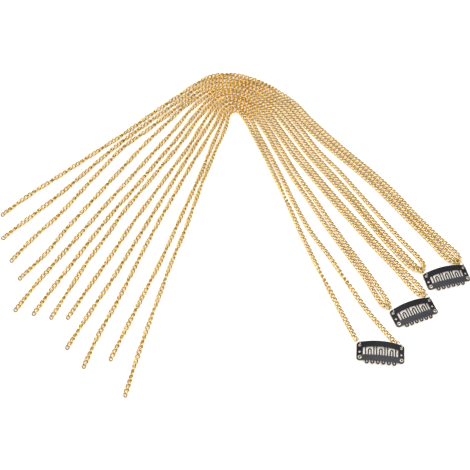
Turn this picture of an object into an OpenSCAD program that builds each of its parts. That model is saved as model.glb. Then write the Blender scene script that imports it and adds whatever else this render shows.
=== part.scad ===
// Hair chain: three snap combs carrying twelve loose curb chains, laid out in an arch.
// Millimetres, +Z up. The chains and the combs lie on the plane z = 0.

/* [Clip plate] */
// Length of a snap comb, end to end
clip_length = 32; // [31:0.5:38]
// Depth of the plate at its ends
plate_depth = 12.9; // [11.5:0.1:15]
// Bow of the plate's top edge at mid-length
top_bow = 1.7; // [1:0.1:2]
// Thickness of the sprung sheet
plate_thickness = 0.5; // [0.4:0.05:0.7]
// Depth of the plain band along the top edge
band_depth = 4.2; // [3:0.1:5]
// Width of the ear at each end
ear_width = 4.2; // [3.9:0.1:4.6]
// Radius of the plate's corners
corner_radius = 2.1; // [1:0.1:2.1]
// Rise of the plate's arch at mid-length
plate_rise = 2; // [1:0.1:3]

/* [Comb] */
// Pairs of teeth, each pair joined by an arch below the band
tooth_pairs = 3; // [1:1:3]
// Distance from one tooth to the next
tooth_pitch = 3.66; // [3.3:0.02:3.75]
// Width of the flat wire of a tooth
tooth_wire = 0.85; // [0.6:0.05:1]
// Reach of the teeth below the rivet line
tooth_reach = 4.2; // [3:0.1:6]
// Drop of a joining arch below the band
arch_drop = 1.2; // [0.8:0.1:1.6]

/* [Spring strip] */
// Width of the strip that presses on the teeth
strip_width = 4.3; // [3:0.1:4.4]
// Thickness of the strip
strip_thickness = 0.5; // [0.3:0.05:0.7]

/* [Holes and eyelets] */
// Diameter of the hole for a clip ring
ring_hole_d = 1.9; // [1.7:0.1:2.1]
// Distance of the ring hole's centre from the plate's end and from its top edge
ring_hole_inset = 2; // [1.8:0.1:2.2]
// Diameter of the sewing hole
sewing_hole_d = 1.5; // [0.9:0.1:1.6]
// Height of the sewing hole above the rivet line
sewing_hole_up = 4.1; // [3.6:0.1:4.6]
// Distance of the rivet line above the plate's lower end
rivet_up = 2.1; // [1.9:0.1:2.5]
// Distance of an eyelet's centre from the plate's end
eyelet_inset = 2.3; // [2.2:0.1:2.6]
// Bore of an eyelet rivet
eyelet_bore_d = 0.9; // [0.5:0.1:1.1]
// Diameter of an eyelet's shank
eyelet_shank_d = 1.8; // [1.5:0.1:2]
// Diameter of an eyelet's rolled rim
eyelet_rim_d = 2.6; // [2.3:0.1:3]

/* [Rings] */
// Outer diameter of a clip ring
clip_ring_od = 6.5; // [5.5:0.1:8]
// Wire of a clip ring
clip_ring_wire = 0.7; // [0.5:0.05:0.85]
// Outer diameter of the ring at a chain's free end
end_ring_od = 3.4; // [3:0.1:4.5]
// Wire of the ring at a chain's free end
end_ring_wire = 0.75; // [0.5:0.05:0.9]

/* [Chain] */
// Thickness of a chain across its flats
chain_d = 3.2; // [2:0.1:3.2]
// Longest step between two sections of a chain
section_step = 9.6; // [7:0.1:10]

/* [Layout] */
// Backward lean of a lying snap comb, in degrees
clip_tilt = 5; // [3:0.5:7]
// Lean of an end ring about its chain, in degrees
end_ring_lean = 45; // [30:5:60]
// Play left between pieces that touch on the real thing
play = 0.06; // [0.04:0.01:0.08]
// Gap between a chain's end and the ring that holds it
chain_gap = 0.3; // [0.2:0.05:0.6]

/* [Hidden] */

CLIP_NAMES = ["front_clip", "middle_clip", "right_clip"];
SIDE_NAMES = ["left", "right"];
SIDES = [-1, 1];
STRAND_COUNT = 12;

// Where each snap comb lies: middle of its rivet line, and its turn about +Z in degrees
X = 0;
Y = 1;
YAW = 2;
CLIP_PLACES = [[100.5, -118, -5.5], [128.6, -86.6, 21.2], [154.7, -58.6, 14.6]];

// Routes of the chains, from the free ends at the left over the crest to the clip rings.
// Left runs, one row for a chain, from the middle of its end ring to the start of the crest.
LEFT_RUNS = [
    [[-170, 0.5], [-149.5, 21], [-128, 40], [-106.5, 59.5], [-85, 79], [-64.5, 99.5], [-43.5, 119.5]],
    [[-166.5, -20.5], [-146.5, 0.5], [-127, 22], [-108.5, 44.5], [-90, 66.5], [-70.5, 86.7],
     [-49.5, 107.5]],
    [[-157.5, -40], [-143, -19], [-127.5, 0.5], [-113.5, 22], [-99.5, 43.5], [-85, 64.5], [-67, 82.5],
     [-49, 101.5]],
    [[-149.5, -55], [-134, -35], [-121.5, -13.5], [-107.5, 8], [-94, 29], [-80, 50], [-66, 71],
     [-50.5, 91.5], [-41, 104.3]],
    [[-149, -80.5], [-135.5, -57], [-121, -34], [-106.5, -11], [-92, 12], [-77, 35], [-62, 58], [-47, 80.5],
     [-33, 104]],
    [[-136, -83.5], [-124, -61], [-111.5, -39], [-99, -16.5], [-86, 5.5], [-72, 27], [-58.5, 49],
     [-45, 70.5], [-32.5, 93]],
    [[-123.5, -86.5], [-113, -63.5], [-102.5, -40.5], [-90.5, -18], [-79, 4.5], [-65.5, 26.5],
     [-52.5, 48], [-39.5, 69.5], [-28, 92]],
    [[-112, -86.5], [-99, -61], [-86, -35.5], [-73.5, -9.5], [-60, 16], [-46.5, 41.5], [-33, 66.5],
     [-21.5, 92.5]],
    [[-110, -109.5], [-98, -84.5], [-85.5, -59.5], [-74, -34.5], [-62.5, -9], [-51, 16.5], [-39.5, 42],
     [-28, 67.5], [-16.3, 92.5]],
    [[-97.5, -123.5], [-89.5, -99.5], [-79.5, -75.5], [-70.5, -51.5], [-61.5, -27], [-52, -3], [-42, 20.5],
     [-32, 44.5], [-21.5, 68], [-11.4, 91.5]],
    [[-80, -118], [-70, -92], [-60, -66], [-50, -40], [-41, -13.5], [-32, 13], [-23, 39.5], [-15, 66.5],
     [-6.9, 92]],
    [[-68.5, -144], [-62.5, -118], [-56, -92], [-49, -66], [-42, -40.5], [-34, -15], [-27, 11],
     [-20, 36.5], [-12, 62], [-3.8, 87.5]]];
// Lines across the crest that all the chains cross side by side: innermost chain, outermost chain
CREST = [[[-1.9, 97.9], [-31.6, 130.8]], [[1.5, 102.9], [-16.8, 141.6]], [[3.7, 104.1], [0.5, 143.8]],
         [[6.1, 103.1], [27, 134]], [[8.7, 99.2], [37, 125.8]], [[12.5, 92], [53.3, 110.6]]];
// Right runs, one row for a band of chains that lie side by side:
// first chain, last chain, middle line of the band as x, y and the distance between its chains,
// clip, side, direction from the clip ring's hole in degrees, lane of the band's middle at the ring
FIRST = 0;
LAST = 1;
LINE = 2;
CLIP = 3;
SIDE = 4;
DIRECTION = 5;
RING_LANE = 6;
RIGHT_RUNS = [
    [1, 3, [[60.7, 92.5, 4.1], [74, 75.2, 4.2], [90, 56.2, 4], [106.3, 37.7, 4], [121, 18.5, 4.1],
            [134.5, -1.5, 3.8], [148, -20.5, 3.8]], 2, 1, 122, 0],
    [4, 4, [[57, 82.5, 4], [69, 61.5, 4], [83, 42.5, 4], [96.5, 21.5, 4], [110, 0.5, 4],
            [123.5, -20.5, 4]], 2, 0, 117, 1],
    [5, 6, [[49.2, 82.5, 4.2], [60, 63, 4.3], [71.5, 45, 4.2], [83.4, 27.2, 4.1], [95.5, 8.5, 3.6],
            [107, -10.5, 3.4], [119.5, -29.5, 4]], 2, 0, 117, -0.7],
    [7, 8, [[38.2, 82.5, 4], [50, 60.2, 4.4], [63, 38.5, 4.1], [76.5, 17, 4.1], [90.5, -4, 3.9],
            [104.5, -25, 3.9], [119.5, -46, 3.9]], 1, 1, 126, 0],
    [9, 10, [[29, 82.5, 3.8], [39, 59.5, 4.3], [49.5, 36.5, 4.5], [61.5, 13.5, 4.7], [72.5, -8.5, 4.4],
             [85, -31.5, 4], [97, -53, 3.9]], 1, 0, 120, 0],
    [11, 11, [[21.5, 79.5, 4], [31, 56.5, 4], [40, 33, 4], [48.5, 9.5, 4], [58.5, -14, 4], [71, -36, 4],
              [82.5, -58.5, 4], [94.5, -80.5, 4]], 0, 1, 127, 0],
    [12, 12, [[17.5, 79.5, 4], [26.4, 57, 4], [34.5, 34.5, 4], [42, 12.5, 4], [49.5, -10, 4],
              [57.5, -32.5, 4], [66, -55.5, 4], [75, -78, 4]], 0, 0, 113, 0]];
// Distance between the chains of a band where they reach their clip ring
RING_SPREAD = 3.8;
// An outer chain of a band ends this share of its sideways step further from the ring
OUTER_SETBACK = 0.6;

STEEL_BLACK = [0.17, 0.17, 0.19];
STRIP_BLACK = [0.24, 0.24, 0.26];
EYELET_BRASS = [0.72, 0.62, 0.42];
RING_SILVER = [0.8, 0.79, 0.76];
CHAIN_GOLD = [0.83, 0.66, 0.35];
SMOOTH = 48;
ARCH_SMOOTH = 240;
CHAIN_SIDES = 8;

ear_bottom = -rivet_up;
plate_top = plate_depth - rivet_up;
bow_radius = (pow(clip_length / 2, 2) + pow(top_bow, 2)) / (2 * top_bow);
bow_v = plate_top + top_bow - bow_radius;
corner_u = clip_length / 2 - corner_radius;
// Top of an ear, just over the bow where the corner's rounding starts
ear_top = bow_height(bow_radius, corner_u) + play;
ring_hole_u = clip_length / 2 - ring_hole_inset;
ring_hole_v = plate_top - ring_hole_inset;
eyelet_u = clip_length / 2 - eyelet_inset;
arch_radius = (pow(clip_length / 2, 2) + pow(plate_rise, 2)) / (2 * plate_rise);
tooth_count = 2 * tooth_pairs;
leg_step = tooth_pitch / 2;
bend_outer = (leg_step + tooth_wire) / 2;
bend_inner = (leg_step - tooth_wire) / 2;
bend_v = bend_outer - tooth_reach;
rim_radius = (eyelet_rim_d - eyelet_bore_d) / 4;
rim_middle = (eyelet_rim_d + eyelet_bore_d) / 4;
eyelet_angle = asin(eyelet_u / arch_radius);
// Lowest points of a comb about its rivet line, and the height at which it lies on them
rim_low = arch_height(eyelet_u) - (plate_thickness / 2 + play) * cos(eyelet_angle)
          - rim_middle * (sin(eyelet_angle) + sin(clip_tilt)) - rim_radius;
ear_low = ear_bottom * sin(clip_tilt) - plate_thickness / 2;
clip_lift = play - min(rim_low, ear_low);
clip_ring_mid = (clip_ring_od - clip_ring_wire) / 2;
end_ring_mid = (end_ring_od - end_ring_wire) / 2;
chain_z = chain_d / 2;
chain_corner = chain_z / cos(180 / CHAIN_SIDES);

// Middle of the whole object's footprint, which becomes the origin
end_ring_xs = [for (run = LEFT_RUNS) run[0][X]];
end_ring_ys = [for (run = LEFT_RUNS) run[0][Y]];
clip_reach_x = [for (c = [0 : len(CLIP_PLACES) - 1]) clip_point(c, clip_length / 2, 0)[X]];
footprint_middle = [(min(end_ring_xs) - end_ring_od / 2 + max(clip_reach_x)) / 2,
                    (min(end_ring_ys) - end_ring_od / 2 + CREST[2][1][Y] + chain_z) / 2];

// Height of a line that runs along the bowed top edge, the lower edge of the band below it,
// and the middle of an arch hung below that
function bow_height(radius, u) = bow_v + sqrt(pow(radius, 2) - pow(u, 2));
function band_low(u) = bow_height(bow_radius - band_depth, u);
function arch_v(u) = band_low(u) - arch_drop - bend_outer;

// Height of the plate's middle surface over the ends of its arch
function arch_height(u) = plate_rise - arch_radius * (1 - cos(asin(u / arch_radius)));

// Where a point of a lying comb's middle surface is: u along the comb, v towards its top edge
function clip_point(c, u, v) =
    let (place = CLIP_PLACES[c], rise = arch_height(u),
         back = v * cos(clip_tilt) - rise * sin(clip_tilt),
         turn = place[YAW])
    [place[X] + u * cos(turn) - back * sin(turn),
     place[Y] + u * sin(turn) + back * cos(turn),
     clip_lift + rise * cos(clip_tilt) + v * sin(clip_tilt)];

function hole_point(run) = clip_point(run[CLIP], SIDES[run[SIDE]] * ring_hole_u, ring_hole_v);
function heading(degrees) = [cos(degrees), sin(degrees)];
function flat(p) = [p[X], p[Y]];
function unit(v) = v / norm(v);
// Left-hand normal of a direction
function across(d) = [-d[1], d[0]];

// Distance from a hole to its ring's middle, and on to a chain that ends just clear of the ring
function ring_out(z_hole) = sqrt(pow(clip_ring_mid, 2) - pow(clip_ring_od / 2 - z_hole, 2));
function ring_reach(z_hole) = ring_out(z_hole) + clip_ring_od / 2 + chain_gap;

// Route of chain k (1 is the outermost) as a list of [x, y]
function run_of(k) = [for (run = RIGHT_RUNS) if (k >= run[FIRST] && k <= run[LAST]) run][0];
function lane_of(k, run) = (run[FIRST] + run[LAST]) / 2 - k;
function start_point(k) =
    let (run = LEFT_RUNS[k - 1])
    run[0] + unit(run[1] - run[0]) * (end_ring_od / 2 + chain_gap);
function crest_points(k) =
    [for (line = CREST) line[0] + (line[1] - line[0]) * (STRAND_COUNT - k) / (STRAND_COUNT - 1)];
function run_points(k, run) =
    let (line = run[LINE], lane = lane_of(k, run))
    [for (i = [0 : len(line) - 1])
        let (before = flat(line[max(i - 1, 0)]), after = flat(line[min(i + 1, len(line) - 1)]))
        flat(line[i]) + across(unit(after - before)) * lane * line[i][2]];
function end_point(k, run) =
    let (hole = hole_point(run), side_step = (lane_of(k, run) + run[RING_LANE]) * RING_SPREAD,
         out = heading(run[DIRECTION]))
    flat(hole) + out * (ring_reach(hole[2]) + abs(side_step) * OUTER_SETBACK) - across(out) * side_step;
function route(k) =
    let (run = run_of(k), left = LEFT_RUNS[k - 1])
    concat([start_point(k)], [for (i = [1 : len(left) - 1]) left[i]], crest_points(k),
           run_points(k, run), [end_point(k, run)]);

// Smooth curve through the points: centripetal Catmull-Rom
function knot(a, b) = sqrt(max(norm(b - a), 0.001));
function blend(a, b, t, ta, tb) = a * (tb - t) / (tb - ta) + b * (t - ta) / (tb - ta);
function curve_point(p0, p1, p2, p3, share) =
    let (t1 = knot(p0, p1), t2 = t1 + knot(p1, p2), t3 = t2 + knot(p2, p3), t = t1 + (t2 - t1) * share,
         a1 = blend(p0, p1, t, 0, t1), a2 = blend(p1, p2, t, t1, t2), a3 = blend(p2, p3, t, t2, t3),
         b1 = blend(a1, a2, t, 0, t2), b2 = blend(a2, a3, t, t1, t3))
    blend(b1, b2, t, t1, t2);
function smooth_route(p) =
    let (n = len(p), q = concat([2 * p[0] - p[1]], p, [2 * p[n - 1] - p[n - 2]]))
    concat([for (i = [1 : n - 1])
                let (steps = max(1, ceil(norm(q[i + 1] - q[i]) / section_step)))
                for (j = [0 : steps - 1]) curve_point(q[i - 1], q[i], q[i + 1], q[i + 2], j / steps)],
           [p[n - 1]]);

// Plate-like shapes, drawn flat and then bent over the arch
module rounded_plate(left, bottom, width, depth, radius) {
    translate([left + radius, bottom]) square([width - 2 * radius, depth]);
    translate([left, bottom + radius]) square([width, depth - 2 * radius]);
    for (x = [left + radius, left + width - radius], y = [bottom + radius, bottom + depth - radius])
        translate([x, y]) circle(r = radius, $fn = SMOOTH);
}

// Half a ring of flat wire: up is 1 for an arch and -1 for a tooth's tip
module wire_bend(x, y, up) {
    translate([x, y])
        intersection() {
            difference() {
                circle(r = bend_outer, $fn = SMOOTH);
                circle(r = bend_inner, $fn = SMOOTH);
            }
            translate([-bend_outer, up > 0 ? 0 : -bend_outer]) square([2 * bend_outer, bend_outer]);
        }
}

module tooth_leg(x, top) {
    translate([x - tooth_wire / 2, bend_v]) square([tooth_wire, top - bend_v]);
}

module comb_outline() {
    for (i = [0 : tooth_count - 1]) {
        middle = (i - (tooth_count - 1) / 2) * tooth_pitch;
        inner_side = i % 2 == 0 ? 1 : -1;
        inner_leg = middle + inner_side * leg_step / 2;
        outer_leg = middle - inner_side * leg_step / 2;
        joint = middle + inner_side * leg_step;
        wire_bend(middle, bend_v, -1);
        tooth_leg(inner_leg, arch_v(joint));
        tooth_leg(outer_leg, band_low(outer_leg) + tooth_wire / 2);
        if (inner_side == 1) wire_bend(joint, arch_v(joint), 1);
    }
}

// The part of a disc about the bow's centre that lies between half_width to either side, above "bottom"
module below_bow(radius, half_width, bottom) {
    intersection() {
        translate([0, bow_v]) circle(r = radius, $fn = ARCH_SMOOTH);
        translate([-half_width, bottom]) square([2 * half_width, 2 * plate_depth]);
    }
}

module plate_outline() {
    difference() {
        union() {
            rounded_plate(-clip_length / 2, ear_bottom, clip_length, ear_top - ear_bottom, corner_radius);
            below_bow(bow_radius, corner_u, 0);
        }
        below_bow(bow_radius - band_depth, clip_length / 2 - ear_width, ear_bottom - play);
    }
    comb_outline();
}

module strip_outline() {
    rounded_plate(-eyelet_u - strip_width / 2, -strip_width / 2, 2 * eyelet_u + strip_width, strip_width,
                  strip_width / 2 - play);
}

// Bends a flat outline over the arch, from rise "low" to rise "high" about the middle surface
module bent(low, high) {
    reach = 2 * clip_length;
    intersection() {
        translate([0, 0, -reach / 4]) linear_extrude(height = reach / 2) children();
        translate([0, -reach / 2, plate_rise - arch_radius])
            rotate([-90, 0, 0])
                difference() {
                    cylinder(r = arch_radius + high, h = reach, $fn = ARCH_SMOOTH);
                    cylinder(r = arch_radius + low, h = reach, $fn = ARCH_SMOOTH);
                }
    }
}

// Puts its children square to the arched sheet at u, v
module on_arch(u, v) {
    translate([0, v, plate_rise - arch_radius])
        rotate([0, asin(u / arch_radius), 0])
            translate([0, 0, arch_radius]) children();
}

module drill(u, v, d) {
    on_arch(u, v) cylinder(d = d, h = 4 * plate_rise, center = true, $fn = SMOOTH);
}

module lay_clip(c) {
    place = CLIP_PLACES[c];
    translate([place[X] - footprint_middle[X], place[Y] - footprint_middle[Y], clip_lift])
        rotate([0, 0, place[YAW]]) rotate([clip_tilt, 0, 0]) children();
}

module clip_plate(c) {
    color(STEEL_BLACK)
        lay_clip(c)
            difference() {
                bent(-plate_thickness / 2, plate_thickness / 2) plate_outline();
                for (side = SIDES) {
                    drill(side * ring_hole_u, ring_hole_v, ring_hole_d);
                    drill(side * ring_hole_u, sewing_hole_up, sewing_hole_d);
                    drill(side * eyelet_u, 0, eyelet_shank_d + 2 * play);
                }
            }
}

module clip_strip(c) {
    low = plate_thickness / 2 + play;
    color(STRIP_BLACK)
        lay_clip(c)
            difference() {
                bent(low, low + strip_thickness) strip_outline();
                for (side = SIDES) drill(side * eyelet_u, 0, eyelet_shank_d + 2 * play);
            }
}

// Rolled eyelet: a hollow shank with a half-round rim above the strip and below the plate
module eyelet(c, side) {
    bottom = -plate_thickness / 2 - play;
    top = plate_thickness / 2 + strip_thickness + 2 * play;
    color(EYELET_BRASS)
        lay_clip(c) on_arch(SIDES[side] * eyelet_u, 0)
            rotate_extrude($fn = SMOOTH) {
                translate([eyelet_bore_d / 2, bottom])
                    square([(eyelet_shank_d - eyelet_bore_d) / 2, top - bottom]);
                rim_half(top, 0);
                rim_half(bottom, -rim_radius);
            }
}

module rim_half(z, from) {
    translate([rim_middle, z])
        intersection() {
            circle(r = rim_radius, $fn = SMOOTH);
            translate([-rim_radius, from]) square([2 * rim_radius, rim_radius]);
        }
}

module wire_ring(mid, wire) {
    rotate_extrude($fn = SMOOTH) translate([mid, 0]) circle(d = wire, $fn = SMOOTH);
}

// A clip ring stands on its edge, runs through its hole and points along its chains
module clip_ring(c, side) {
    run = [for (r = RIGHT_RUNS) if (r[CLIP] == c && r[SIDE] == side) r][0];
    hole = hole_point(run);
    middle = flat(hole) + heading(run[DIRECTION]) * ring_out(hole[2]) - footprint_middle;
    color(RING_SILVER)
        translate([middle[X], middle[Y], clip_ring_od / 2])
            rotate([90, 0, run[DIRECTION]]) wire_ring(clip_ring_mid, clip_ring_wire);
}

// An end ring lies as a chain's next link would, turned about the chain's own line
module end_ring(k) {
    run = LEFT_RUNS[k - 1];
    along = run[1] - run[0];
    middle = run[0] - footprint_middle;
    color(RING_SILVER)
        translate([middle[X], middle[Y], end_ring_mid * sin(end_ring_lean) + end_ring_wire / 2])
            rotate([0, 0, atan2(along[Y], along[X])]) rotate([end_ring_lean, 0, 0])
                wire_ring(end_ring_mid, end_ring_wire);
}

// A chain's body: an eight-sided section swept along its route
module strand(k) {
    path = [for (p = smooth_route(route(k))) p - footprint_middle];
    last = len(path) - 1;
    points = [for (i = [0 : last])
                  let (side = across(unit(path[min(i + 1, last)] - path[max(i - 1, 0)])))
                  for (j = [0 : CHAIN_SIDES - 1])
                      let (angle = (j + 0.5) * 360 / CHAIN_SIDES, out = side * cos(angle) * chain_corner)
                      [path[i][X] + out[X], path[i][Y] + out[Y], chain_z + sin(angle) * chain_corner]];
    walls = [for (i = [0 : last - 1], j = [0 : CHAIN_SIDES - 1])
                 let (a = i * CHAIN_SIDES + j, b = i * CHAIN_SIDES + (j + 1) % CHAIN_SIDES)
                 each [[a, b, b + CHAIN_SIDES], [a, b + CHAIN_SIDES, a + CHAIN_SIDES]]];
    caps = [[for (j = [CHAIN_SIDES - 1 : -1 : 0]) j],
            [for (j = [0 : CHAIN_SIDES - 1]) last * CHAIN_SIDES + j]];
    color(CHAIN_GOLD) polyhedron(points = points, faces = concat(walls, caps));
}

for (c = [0 : 2]) {
    clip_plate(c);
    clip_strip(c);
    for (s = [0 : 1]) {
        eyelet(c, s);
        clip_ring(c, s);
    }
}
for (k = [1 : STRAND_COUNT]) {
    strand(k);
    end_ring(k);
}
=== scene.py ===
"""Hair chain laid in an arch: twelve curb chains, their rings and three black snap combs."""
import math

import bmesh
import bpy
import numpy as np
from mathutils import Euler, Matrix, Vector


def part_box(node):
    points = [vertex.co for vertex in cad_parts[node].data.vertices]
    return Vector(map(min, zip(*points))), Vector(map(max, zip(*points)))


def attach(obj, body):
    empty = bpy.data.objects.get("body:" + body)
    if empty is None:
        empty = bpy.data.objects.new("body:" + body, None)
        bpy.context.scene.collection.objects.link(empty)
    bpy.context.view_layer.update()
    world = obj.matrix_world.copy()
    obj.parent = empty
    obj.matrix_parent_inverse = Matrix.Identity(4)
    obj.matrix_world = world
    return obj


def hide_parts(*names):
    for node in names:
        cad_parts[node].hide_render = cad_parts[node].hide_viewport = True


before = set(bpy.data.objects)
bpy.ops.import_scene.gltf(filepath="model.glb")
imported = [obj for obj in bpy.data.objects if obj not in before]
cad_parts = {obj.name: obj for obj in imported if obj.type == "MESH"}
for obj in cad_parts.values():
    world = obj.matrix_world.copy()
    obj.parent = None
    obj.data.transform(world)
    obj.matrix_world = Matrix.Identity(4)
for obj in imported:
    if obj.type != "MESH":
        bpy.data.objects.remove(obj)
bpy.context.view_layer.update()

MM = 0.001

# ---------------------------------------------------------------- sizes, as in the part's source
CLIP_LENGTH = 32 * MM
PLATE_DEPTH = 12.9 * MM
TOP_BOW = 1.7 * MM
PLATE_THICKNESS = 0.5 * MM
BAND_DEPTH = 4.2 * MM
EAR_WIDTH = 4.2 * MM
CORNER_RADIUS = 2.1 * MM
PLATE_RISE = 2 * MM
TOOTH_PAIRS = 3
TOOTH_PITCH = 3.66 * MM
TOOTH_WIRE = 0.85 * MM
TOOTH_REACH = 4.2 * MM
ARCH_DROP = 1.2 * MM
STRIP_WIDTH = 4.3 * MM
STRIP_THICKNESS = 0.5 * MM
RING_HOLE_D = 1.9 * MM
RING_HOLE_INSET = 2 * MM
SEWING_HOLE_D = 1.5 * MM
SEWING_HOLE_UP = 4.1 * MM
RIVET_UP = 2.1 * MM
EYELET_INSET = 2.3 * MM
EYELET_BORE_D = 0.9 * MM
EYELET_SHANK_D = 1.8 * MM
EYELET_RIM_D = 2.6 * MM
CLIP_RING_OD = 6.5 * MM
CLIP_RING_WIRE = 0.7 * MM
END_RING_OD = 3.4 * MM
END_RING_WIRE = 0.75 * MM
END_RING_LEAN = math.radians(45)
CLIP_TILT = math.radians(5)
PLAY = 0.06 * MM
CHAIN_GAP = 0.3 * MM
RING_SPREAD = 3.8 * MM
OUTER_SETBACK = 0.6
STRAND_COUNT = 12

# Curb link: a flattened loop of round wire, twisted end to end
LINK_HALF_LENGTH = 2.2 * MM
LINK_HALF_WIDTH = 1.36 * MM
LINK_WIRE = 0.95 * MM
LINK_TWIST = math.radians(50)
LINK_PITCH = 3.2 * MM
LINK_PRESSED = 2.2 * MM
LINK_STEPS = 14
WIRE_SIDES = 6

CLIP_NAMES = ("front_clip", "middle_clip", "right_clip")
SIDE_NAMES = ("left", "right")


def in_metres(rows):
    return [np.array(row, float) * MM for row in rows]


# Where each snap comb lies: middle of its rivet line, and its turn about +Z in degrees
CLIP_PLACES = [(100.5, -118, -5.5), (128.6, -86.6, 21.2), (154.7, -58.6, 14.6)]

# Left runs of the chains, from the middle of each end ring to the start of the crest
LEFT_RUNS = in_metres([
    [(-170, 0.5), (-149.5, 21), (-128, 40), (-106.5, 59.5), (-85, 79), (-64.5, 99.5), (-43.5, 119.5)],
    [(-166.5, -20.5), (-146.5, 0.5), (-127, 22), (-108.5, 44.5), (-90, 66.5), (-70.5, 86.7),
     (-49.5, 107.5)],
    [(-157.5, -40), (-143, -19), (-127.5, 0.5), (-113.5, 22), (-99.5, 43.5), (-85, 64.5), (-67, 82.5),
     (-49, 101.5)],
    [(-149.5, -55), (-134, -35), (-121.5, -13.5), (-107.5, 8), (-94, 29), (-80, 50), (-66, 71),
     (-50.5, 91.5), (-41, 104.3)],
    [(-149, -80.5), (-135.5, -57), (-121, -34), (-106.5, -11), (-92, 12), (-77, 35), (-62, 58),
     (-47, 80.5), (-33, 104)],
    [(-136, -83.5), (-124, -61), (-111.5, -39), (-99, -16.5), (-86, 5.5), (-72, 27), (-58.5, 49),
     (-45, 70.5), (-32.5, 93)],
    [(-123.5, -86.5), (-113, -63.5), (-102.5, -40.5), (-90.5, -18), (-79, 4.5), (-65.5, 26.5),
     (-52.5, 48), (-39.5, 69.5), (-28, 92)],
    [(-112, -86.5), (-99, -61), (-86, -35.5), (-73.5, -9.5), (-60, 16), (-46.5, 41.5), (-33, 66.5),
     (-21.5, 92.5)],
    [(-110, -109.5), (-98, -84.5), (-85.5, -59.5), (-74, -34.5), (-62.5, -9), (-51, 16.5), (-39.5, 42),
     (-28, 67.5), (-16.3, 92.5)],
    [(-97.5, -123.5), (-89.5, -99.5), (-79.5, -75.5), (-70.5, -51.5), (-61.5, -27), (-52, -3),
     (-42, 20.5), (-32, 44.5), (-21.5, 68), (-11.4, 91.5)],
    [(-80, -118), (-70, -92), (-60, -66), (-50, -40), (-41, -13.5), (-32, 13), (-23, 39.5), (-15, 66.5),
     (-6.9, 92)],
    [(-68.5, -144), (-62.5, -118), (-56, -92), (-49, -66), (-42, -40.5), (-34, -15), (-27, 11),
     (-20, 36.5), (-12, 62), (-3.8, 87.5)]])
# Lines across the crest that all the chains cross side by side: innermost chain, outermost chain
CREST = in_metres([
    [(-1.9, 97.9), (-31.6, 130.8)], [(1.5, 102.9), (-16.8, 141.6)], [(3.7, 104.1), (0.5, 143.8)],
    [(6.1, 103.1), (27, 134)], [(8.7, 99.2), (37, 125.8)], [(12.5, 92), (53.3, 110.6)]])
# Right runs: first and last chain of a band, clip, side, direction at the ring in degrees, lane of the
# band's middle at the ring, and its middle line as x, y and the distance between its chains
RIGHT_RUNS = [
    (1, 3, 2, 1, 122, 0, [(60.7, 92.5, 4.1), (74, 75.2, 4.2), (90, 56.2, 4), (106.3, 37.7, 4),
                          (121, 18.5, 4.1), (134.5, -1.5, 3.8), (148, -20.5, 3.8)]),
    (4, 4, 2, 0, 117, 1, [(57, 82.5, 4), (69, 61.5, 4), (83, 42.5, 4), (96.5, 21.5, 4),
                          (110, 0.5, 4), (123.5, -20.5, 4)]),
    (5, 6, 2, 0, 117, -0.7, [(49.2, 82.5, 4.2), (60, 63, 4.3), (71.5, 45, 4.2), (83.4, 27.2, 4.1),
                             (95.5, 8.5, 3.6), (107, -10.5, 3.4), (119.5, -29.5, 4)]),
    (7, 8, 1, 1, 126, 0, [(38.2, 82.5, 4), (50, 60.2, 4.4), (63, 38.5, 4.1), (76.5, 17, 4.1),
                          (90.5, -4, 3.9), (104.5, -25, 3.9), (119.5, -46, 3.9)]),
    (9, 10, 1, 0, 120, 0, [(29, 82.5, 3.8), (39, 59.5, 4.3), (49.5, 36.5, 4.5), (61.5, 13.5, 4.7),
                           (72.5, -8.5, 4.4), (85, -31.5, 4), (97, -53, 3.9)]),
    (11, 11, 0, 1, 127, 0, [(21.5, 79.5, 4), (31, 56.5, 4), (40, 33, 4), (48.5, 9.5, 4),
                            (58.5, -14, 4), (71, -36, 4), (82.5, -58.5, 4), (94.5, -80.5, 4)]),
    (12, 12, 0, 0, 113, 0, [(17.5, 79.5, 4), (26.4, 57, 4), (34.5, 34.5, 4), (42, 12.5, 4),
                            (49.5, -10, 4), (57.5, -32.5, 4), (66, -55.5, 4), (75, -78, 4)])]

# The loose left runs are twisted: length of a half turn of each chain, and the share of that rate of
# turning at each distance from the free end. A few chains on the right turn over once.
HALF_TURN_LENGTHS = np.array([17, 17, 16.5, 17.5, 20.5, 18, 24, 26, 17.5, 18.5, 23, 22]) * MM
TURNING = np.array([(0, 0.4), (0.035, 1), (0.15, 1), (0.25, 0.5), (0.3, 0)])
RIGHT_HALF_TURNS = {11: [(82.5, -58.5)], 12: [(42, 12.5), (66, -55.5)]}
RIGHT_TURN_LENGTH = 52 * MM
ROUTE_STEP = 0.5 * MM
# Unevenness of the twist: share of the rate of turning and its wave, and a sway in two waves
WANDER = 0.18
WANDER_WAVE = 19 * MM
SWAY = math.radians(4)
SWAY_WAVES = (11 * MM, 29 * MM)
# Round the middle of the crest the imported chains mirror one another; their deeper orange there is a
# painted reflection
PACKED_REACH = 42 * MM
PACKED_FADE = 26 * MM

# ---------------------------------------------------------------- camera and light
CAMERA_ELEVATION = math.radians(56)
CAMERA_DISTANCE = 640 * MM
CAMERA_FOCAL_PX = 870
PHOTO_PX = 470
SENSOR_MM = 36
AIM = Vector((3.13 * MM, -17.06 * MM, 0))
# Soft panels: name, place and size in metres, power in watts
SOFTBOXES = [("top_softbox", (0.1, -0.25, 1.15), (1.1, 0.65), 10.4),
             ("left_softbox", (-0.95, 0.1, 0.7), (0.4, 0.9), 2.5),
             ("right_softbox", (0.95, 0.1, 0.7), (0.4, 0.9), 2.5)]
ROOM_COLOUR = (1.0, 0.98, 0.95, 1)
ROOM_STRENGTH = 0.33
FLOOR_REACH = 3.0
FLOOR_LEVEL = -0.02 * MM


def box_middle(node):
    low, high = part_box(node)
    return (low + high) / 2


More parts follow.
